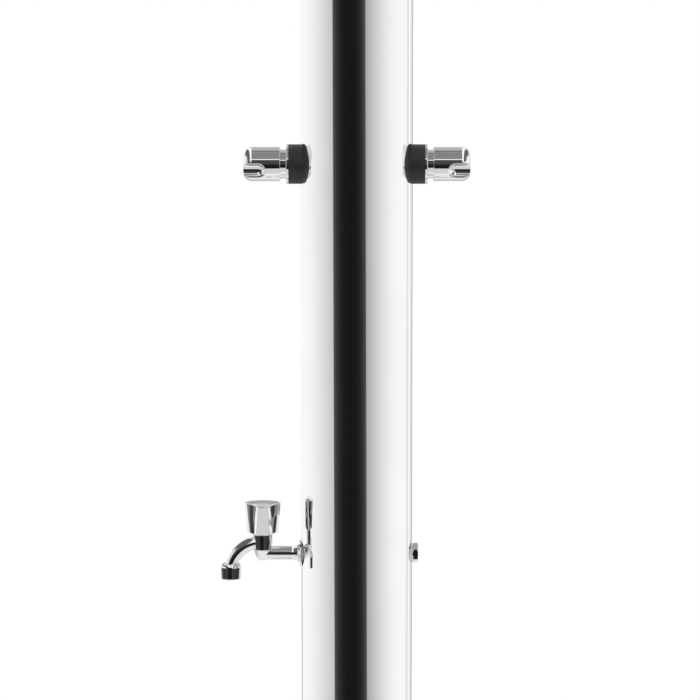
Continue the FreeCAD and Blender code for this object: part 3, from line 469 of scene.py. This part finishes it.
def socket_screw(shank, length, head, height, corners):
    """A dome-headed screw with a hexagon socket, its seat at the origin and its head up Z.

    shank and head are radii, height is the head's, and corners is the width across the socket's corners.
    """
    bm = bmesh.new()
    lathe(bm, [(0, -length), (shank * 0.8, -length), (shank, -length * 0.9), (shank, 0), (head, 0),
               (head, height * 0.3), (head * 0.95, height * 0.6), (head * 0.82, height * 0.86),
               (head * 0.66, height * 0.98), (corners * 0.62, height)], SCREW_SEGMENTS, closed=False)
    rim = [edge for edge in open_edges(bm) if edge.verts[0].co.z > height * 0.99]
    hexagon = bmesh.ops.create_circle(bm, segments=6, radius=corners / 2,
                                      matrix=Matrix.Translation((0, 0, height * 0.94)))["verts"]
    sides = list({edge for corner in hexagon for edge in corner.link_edges})
    bmesh.ops.subdivide_edges(bm, edges=sides, cuts=HEXAGON_SIDE_CUTS)
    sides = [edge for edge in bm.edges if edge.is_wire]
    bmesh.ops.bridge_loops(bm, edges=rim + sides)
    walls = bmesh.ops.extrude_edge_only(bm, edges=sides)["geom"]
    bmesh.ops.translate(bm, verts=only_verts(walls), vec=(0, 0, -height * 0.55))
    bmesh.ops.edgeloop_fill(bm, edges=open_edges(bm))
    bmesh.ops.recalc_face_normals(bm, faces=bm.faces)
    return bm


class SHOWER_OT_cap_screws(bpy.types.Operator):
    """Model the top cap's screws with their hexagon sockets"""
    bl_idname = "shower.cap_screws"
    bl_label = "Cap screws"

    def execute(self, context):
        sizes = context.scene.shower_pieces
        low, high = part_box("cap_screws")
        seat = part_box("post")[1].x
        head, height = (high.z - low.z) / 2, high.y - seat
        bm = socket_screw(sizes.screw_shank, CAP_SCREW_LENGTH, head, height, sizes.screw_socket)
        bmesh.ops.rotate(bm, verts=bm.verts, cent=ORIGIN, matrix=Matrix.Rotation(math.pi / 2, 3, "Y"))
        copies_around(bm, CAP_SCREW_COUNT, seat)
        bmesh.ops.rotate(bm, verts=bm.verts, cent=ORIGIN, matrix=Matrix.Rotation(math.pi / 2, 3, "Z"))
        bmesh.ops.translate(bm, verts=bm.verts, vec=(0, 0, (low.z + high.z) / 2))
        make_object("cap_socket_screws", bm, "post_assembly", "plain_steel", "cap_screws")
        return {"FINISHED"}


class SHOWER_OT_spray_nibs(bpy.types.Operator):
    """Model the soft nibs that line the spray plates' holes"""
    bl_idname = "shower.spray_nibs"
    bl_label = "Spray nibs"

    def execute(self, context):
        sizes = context.scene.shower_pieces
        wide, bore, stand = sizes.nib_radius, sizes.nib_bore, sizes.nib_stand
        back, face = SPRAY_PLATE_BACK, SPRAY_PLATE_FACE
        tip = face + stand
        outline = [(bore, back), (wide, back), (wide, face), (wide * 0.86, face + stand * 0.3),
                   (wide * 0.68, tip - 0.1 * MM), (wide * 0.58, tip), (bore, tip)]
        for side, way in SIDES:
            bm = bmesh.new()
            for ring in range(SPRAY_RINGS):
                nibs = bmesh.new()
                lathe(nibs, outline, NIB_SEGMENTS)
                copies_around(nibs, FIRST_RING_HOLES * (ring + 1), FIRST_RING_RADIUS + RING_STEP * ring)
                move_into(bm, nibs)
            ball = Matrix.Translation(joints[f"head_{side}_tilt"]["pos_m"])
            bmesh.ops.transform(bm, matrix=ball @ Matrix.Rotation(way * HEAD_TURN, 4, "Y"), verts=bm.verts)
            make_object(f"spray_nibs_{side}", bm, f"head_{side}", "black_rubber")
        return {"FINISHED"}


class SHOWER_OT_springs(bpy.types.Operator):
    """Model the buttons' return springs as coils at their rest length, riding on the post"""
    bl_idname = "shower.springs"
    bl_label = "Return springs"

    def execute(self, context):
        sizes = context.scene.shower_pieces
        wire, turns = sizes.spring_wire, sizes.spring_turns
        steps = round(COIL_STEPS_PER_TURN * turns)
        for side, way in SIDES:
            low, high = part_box(f"return_spring_{side}")
            length, mean = high.x - low.x, (high.y - low.y) / 2 - wire
            bm = bmesh.new()
            section = Matrix.Translation((mean, 0, wire)) @ Matrix.Rotation(math.pi / 2, 4, "X")
            bmesh.ops.create_circle(bm, segments=WIRE_SEGMENTS, radius=wire, matrix=section)
            bmesh.ops.spin(bm, geom=bm.verts[:] + bm.edges[:], cent=ORIGIN, axis=Z_AXIS,
                           dvec=(0, 0, (length - 2 * wire) / steps), angle=2 * math.pi * turns, steps=steps)
            bmesh.ops.edgeloop_fill(bm, edges=open_edges(bm))
            bmesh.ops.recalc_face_normals(bm, faces=bm.faces)
            fixed_end = Vector((high.x if side == "left" else low.x, 0, (low.z + high.z) / 2))
            turn = Matrix.Translation(fixed_end) @ Matrix.Rotation(way * math.pi / 2, 4, "Y")
            bmesh.ops.transform(bm, matrix=turn, verts=bm.verts)
            coil = make_object(f"return_coil_{side}", bm, "post_assembly", "plain_steel",
                               f"return_spring_{side}")
            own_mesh(coil)
        return {"FINISHED"}


# Studio

class Tent:
    """The white tent that the polished metal mirrors: its brightness in each direction.

    Angles are in degrees. around turns from the camera, at 0, to the right. over goes from the camera, at 0,
    up over the post, at 90. rise is the height above the horizon. side is around for edges that lean as they
    rise. aside is the sine of the angle to the left or right.
    """

    def __init__(self, graph, direction):
        stage = bpy.context.scene.shower_stage
        self.gap_left, self.gap_right = math.degrees(stage.gap_left), math.degrees(stage.gap_right)
        self.gap_low, self.gap_high = math.degrees(stage.gap_low), math.degrees(stage.gap_high)
        self.wall_low = math.degrees(stage.wall_low)
        self.graph = graph
        x, y, z = (graph.add("SeparateXYZ", None, {0: direction}, k) for k in range(3))
        radian = math.degrees(1)
        self.around = graph.calc("ARCTAN2", x, -y) * radian
        self.over = graph.calc("ARCTAN2", z, -y) * radian
        self.rise = graph.calc("ARCSINE", z) * radian
        self.side = self.around + (self.rise + 5) * 0.45
        self.aside = graph.calc("ABSOLUTE", x)

    def step(self, angle, place, edge=1.0):
        return self.graph.step(angle, place, edge)

    def most(self, first, second):
        return self.graph.calc("MAXIMUM", first, second)

    def profile(self, angle, *stops):
        """Brightness that runs straight from one (degrees, brightness) stop to the next."""
        low, high = stops[0][0], stops[-1][0]
        greys = [((place - low) / (high - low), (tone, tone, tone)) for place, tone in stops]
        return self.graph.add("ValToRGB", {"stops": greys}, {0: (angle - low) / (high - low)})

    def gain(self, distance, reach, power):
        """0 at the opening's edge, rising to 1 at that reach from it."""
        left = self.most(1.0 - self.most(distance, 0.0) / reach, 0.0)
        return 1.0 - left ** power

    def walls(self):
        """Pale side walls that brighten away from the opening, and a duller wall behind the post."""
        around, side = self.around, self.side
        left = 0.60 + 0.41 * self.gain(self.gap_left - side, 80, 1.6)
        right = 0.42 + 0.60 * self.gain(side - self.gap_right, 80, 1.7)
        right_fold = self.graph.band(around, 126, 135, 1.5) * 0.22
        walls = self.graph.blend(self.step(around, -15, 5), left, right) - right_fold
        walls = self.graph.blend(self.step(around, 146), walls, 0.78)
        left_foot = self.step(-around, 158, 2) * self.step(-self.rise, 11.6, 0.2) * 0.8
        back = self.most(self.step(around, 161), self.most(self.step(-around, 172), left_foot))
        return self.graph.blend(back, walls, 0.40)

    def skirting(self):
        """The dark strip at the walls' foot, greyer in one stretch and behind the post, pale at the right."""
        stretch = self.graph.band(self.around, -123, -86, 2) * self.step(self.rise, -15.3, 0.2)
        tone = self.graph.blend(self.step(self.around, 73, 3), 0.045 + stretch * 0.2, 0.7)
        return self.graph.blend(self.step(-self.around, 158), tone, 0.3)

    def front(self):
        """The dark opening, the lit front edge of the ceiling over it, and the ceiling's steps."""
        high = self.gap_high
        tone = self.profile(self.over, (-30, 0.008), (0, 0.008), (8, 0.04), (high - 1.5, 0.05), (high, 1),
                            (high + 4.5, 1), (high + 6, 0.25), (98, 0.25), (101, 0.15), (105, 0.15),
                            (108, 0.38), (125, 0.46), (140, 0.54), (165, 0.68))
        left_glow = self.graph.calc("EXPONENT", (self.gap_left - self.side) / 7)
        right_glow = self.graph.calc("EXPONENT", (self.side - self.gap_right) / 6)
        glow = self.graph.calc("MINIMUM", left_glow + right_glow, 1.0)
        return tone + 0.1 * glow * (1.0 - self.step(self.over, 22, 4))

    def roof(self, front):
        """The ceiling from its middle outwards: its steps, a bright slot, a dark panel, and pale beyond."""
        slot = self.graph.band(self.aside, 0.06, 0.33, 0.015)
        panel = self.graph.band(self.aside, 0.36, 0.82, 0.03)
        roof = self.graph.blend(self.graph.smooth(self.aside, 0.04, 0.07), front, 0.8)
        return self.graph.blend(panel, self.graph.blend(slot, roof, 1.1), 0.13)

    def floor(self):
        """The pale floor from front to back, with a dark gap behind the post's foot."""
        return self.profile(self.graph.calc("ABSOLUTE", self.over), (24, 0.68), (64, 0.68), (70, 0.74),
                            (82, 0.86), (88, 0.84), (90, 0.3), (97, 0.3), (99, 0.62), (116, 0.8), (125, 0.75),
                            (133, 0.5), (150, 0.6), (180, 0.7))

    def brightness(self):
        """Opening, walls, ceiling and floor put together."""
        front = self.front()
        walls = self.graph.blend(self.step(self.rise, self.wall_low, 0.3), self.skirting(), self.walls())
        opening = self.graph.band(self.side, self.gap_left, self.gap_right, 0.8)
        tent = self.graph.blend(opening, walls, front)
        tent = self.graph.blend(self.step(self.rise, 20, 4), tent, self.roof(front))
        out = self.graph.calc("ABSOLUTE", self.around)
        floor_edge = self.graph.blend(self.step(out, 18, 3), -self.gap_low, 19)
        return self.graph.blend(self.step(-self.rise, floor_edge), tent, self.floor())


def build_world():
    """White to the camera, plain light to dull surfaces, and the tent to polished ones."""
    world = bpy.data.worlds.new("white_tent")
    bpy.context.scene.world = world
    world.use_nodes = True
    graph = Graph(world.node_tree)
    direction = graph.add("TexCoord", output="Generated")
    camera = graph.add("LightPath", output="Is Camera Ray")
    glossy = graph.add("LightPath", output="Is Glossy Ray")
    light = graph.blend(glossy, 0.88, Tent(graph, direction).brightness())
    light = graph.blend(camera, light, 1.0)
    grey = graph.add("CombineColor", None, {0: light, 1: light, 2: light})
    background = graph.add("Background", None, {"Color": grey, "Strength": 1.0})
    graph.add("OutputWorld", None, {"Surface": background})


def floor_material(radius):
    """Pale grey round the post, fading to the camera's white, and clear to reflections further out."""
    material, graph = new_material("pale_floor")
    place = graph.add("TexCoord", output="Object")
    out = graph.add("VectorMath", {"operation": "LENGTH"}, {0: place}, "Value")
    camera = graph.add("LightPath", output="Is Camera Ray")
    glossy = graph.add("LightPath", output="Is Glossy Ray")
    speckle = graph.noise(place, 400.0, 2.0)
    tone = graph.blend_colour(speckle, rgba((0.83, 0.83, 0.83)), rgba((0.87, 0.87, 0.87)))
    dull = graph.principled(base_color=tone, roughness=0.6)
    white = graph.add("Emission", None, {"Color": rgba((1, 1, 1)), "Strength": 1.0})
    clear = graph.add("BsdfTransparent")
    seen_white = graph.smooth(out, radius * 0.3, radius * 0.97) * camera
    mirrored_clear = graph.smooth(out, 0.45, 0.8) * glossy
    floor = graph.add("MixShader", None, {0: seen_white, 1: dull, 2: white})
    graph.surface(graph.add("MixShader", None, {0: mirrored_clear, 1: floor, 2: clear}))
    return material


def build_floor(radius):
    """A round floor just under the base, which takes the post's shadow."""
    bm = bmesh.new()
    bmesh.ops.create_circle(bm, cap_ends=True, segments=128, radius=radius,
                            matrix=Matrix.Translation((0, 0, -0.3 * MM)))
    mesh = bpy.data.meshes.new("floor")
    bm.to_mesh(mesh)
    bm.free()
    floor = bpy.data.objects.new("floor", mesh)
    bpy.context.scene.collection.objects.link(floor)
    mesh.materials.append(floor_material(radius))


def build_lamp(name, place, target, width, power):
    """A large soft lamp that gives shape and a soft shadow and stays out of the reflections."""
    data = bpy.data.lights.new(name, "AREA")
    data.shape = "DISK"
    data.size = width
    data.energy = power
    lamp = bpy.data.objects.new(name, data)
    lamp.location = place
    lamp.rotation_mode = "QUATERNION"
    lamp.rotation_quaternion = (Vector(target) - Vector(place)).to_track_quat("-Z", "Y")
    lamp.visible_glossy = False
    bpy.context.scene.collection.objects.link(lamp)


def build_camera():
    stage = bpy.context.scene.shower_stage
    data = bpy.data.cameras.new("camera")
    data.sensor_width = 36.0
    data.lens = data.sensor_width * stage.camera_focal_pixels / PICTURE_PIXELS
    data.clip_end = 100.0
    camera = bpy.data.objects.new("camera", data)
    back = Vector((0, -math.cos(stage.camera_tilt), math.sin(stage.camera_tilt)))
    camera.location = Vector((-stage.aim_side, 0, stage.aim_height)) + back * stage.camera_distance
    camera.rotation_mode = "QUATERNION"
    camera.rotation_quaternion = (-back).to_track_quat("-Z", "Y")
    bpy.context.scene.collection.objects.link(camera)
    bpy.context.scene.camera = camera


class SHOWER_OT_stage(bpy.types.Operator):
    """Set up the floor, the light, the white tent and the camera"""
    bl_idname = "shower.stage"
    bl_label = "Stage"

    def execute(self, context):
        context.scene.view_settings.view_transform = "Standard"
        build_world()
        build_floor(context.scene.shower_stage.floor_radius)
        build_lamp("key_lamp", place=(-2.2, -2.4, 3.6), target=(0, 0, 1.0), width=1.6, power=60.0)
        build_camera()
        return {"FINISHED"}


OPERATORS = (SHOWER_OT_finishes, SHOWER_OT_post, SHOWER_OT_cap_screws, SHOWER_OT_spray_nibs,
             SHOWER_OT_springs, SHOWER_OT_stage)


class SHOWER_PT_panel(bpy.types.Panel):
    """Every step of the shower post's looks"""
    bl_idname = "SHOWER_PT_panel"
    bl_label = "Shower post"
    bl_space_type = "VIEW_3D"
    bl_region_type = "UI"
    bl_category = "Shower post"

    def draw(self, context):
        scene = context.scene
        for settings in (scene.shower_finish, scene.shower_pieces, scene.shower_stage):
            box = self.layout.box()
            for name in settings.__annotations__:
                box.prop(settings, name)
        for operator in OPERATORS:
            self.layout.operator(operator.bl_idname)


CLASSES = (FinishSettings, PieceSettings, StageSettings, *OPERATORS, SHOWER_PT_panel)


def register():
    for made in CLASSES:
        bpy.utils.register_class(made)
    bpy.types.Scene.shower_finish = PointerProperty(type=FinishSettings)
    bpy.types.Scene.shower_pieces = PointerProperty(type=PieceSettings)
    bpy.types.Scene.shower_stage = PointerProperty(type=StageSettings)


def unregister():
    for name in ("shower_finish", "shower_pieces", "shower_stage"):
        delattr(bpy.types.Scene, name)
    for made in reversed(CLASSES):
        bpy.utils.unregister_class(made)


def main():
    register()
    for operator in OPERATORS:
        getattr(bpy.ops.shower, operator.bl_idname.split(".")[1])()


if __name__ == "__main__":
    main()
